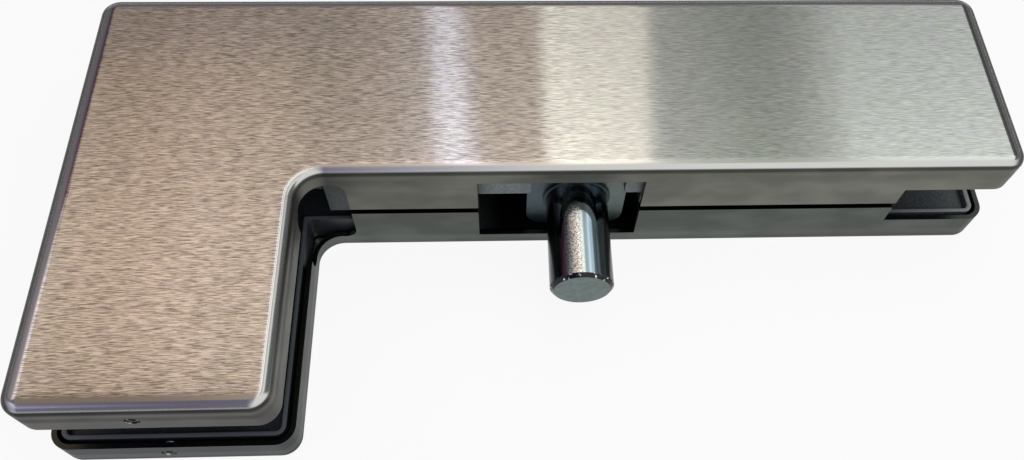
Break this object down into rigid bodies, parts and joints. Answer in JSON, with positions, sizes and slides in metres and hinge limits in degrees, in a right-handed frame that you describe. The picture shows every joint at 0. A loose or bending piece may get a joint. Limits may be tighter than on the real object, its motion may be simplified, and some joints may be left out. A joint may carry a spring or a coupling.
{
  "type": "glass door corner patch fitting",
  "caption": "L-shaped clamp that joins an overpanel and a side panel of frameless glass and carries a round pivot pin for the door leaf below.",
  "frame": {"origin": "centre of the whole outline, on the rear cover's outer face", "axes": "+X along the arm towards its free end, +Y across the arm away from the door, -Y along the leg and the pivot pin, +Z through the glass from the rear cover to the front cover"},
  "size_m": [0.222, 0.108, 0.034],
  "materials": {
    "brushed_cover": "satin stainless, grain along the arm",
    "cast_body": "raw die casting",
    "moulded_liner": "fine spark-eroded texture",
    "black_plastic": "smooth",
    "foam_pad": "closed-cell foam",
    "zinc_steel": "zinc plated",
    "zinc_carrier": "matt plated zinc casting",
    "chrome_pin": "bright chrome on ground steel"
  },
  "bodies": {
    "rear_half": {"rear_cover": "brushed_cover", "rear_body": "cast_body", "rear_liner": "moulded_liner", "rear_post_sleeves": "black_plastic", "rear_cover_pads": "foam_pad", "rear_cover_screws": "zinc_steel", "clamp_inserts": "zinc_steel", "guide_dowels": "zinc_steel", "edge_blocks": "black_plastic", "lock_insert": "zinc_steel", "lock_screw": "zinc_steel", "lock_washer": "zinc_steel"},
    "front_half": {"front_cover": "brushed_cover", "front_body": "cast_body", "front_liner": "moulded_liner", "front_post_sleeves": "black_plastic", "front_cover_pads": "foam_pad", "front_cover_screws": "zinc_steel", "clamp_screws": "zinc_steel"},
    "pivot": {"pivot_carrier": "zinc_carrier", "pivot_pin": "chrome_pin", "pin_set_screw": "zinc_steel"}
  },
  "joints": [
    {"name": "front_half_clamp", "type": "slide", "parent": "rear_half", "child": "front_half", "axis": [0, 0, 1], "range_m": [-0.0017, 0.003]},
    {"name": "carrier_slide", "type": "slide", "parent": "rear_half", "child": "pivot", "axis": [1, 0, 0], "range_m": [-0.0028, 0.0028]}
  ]
}
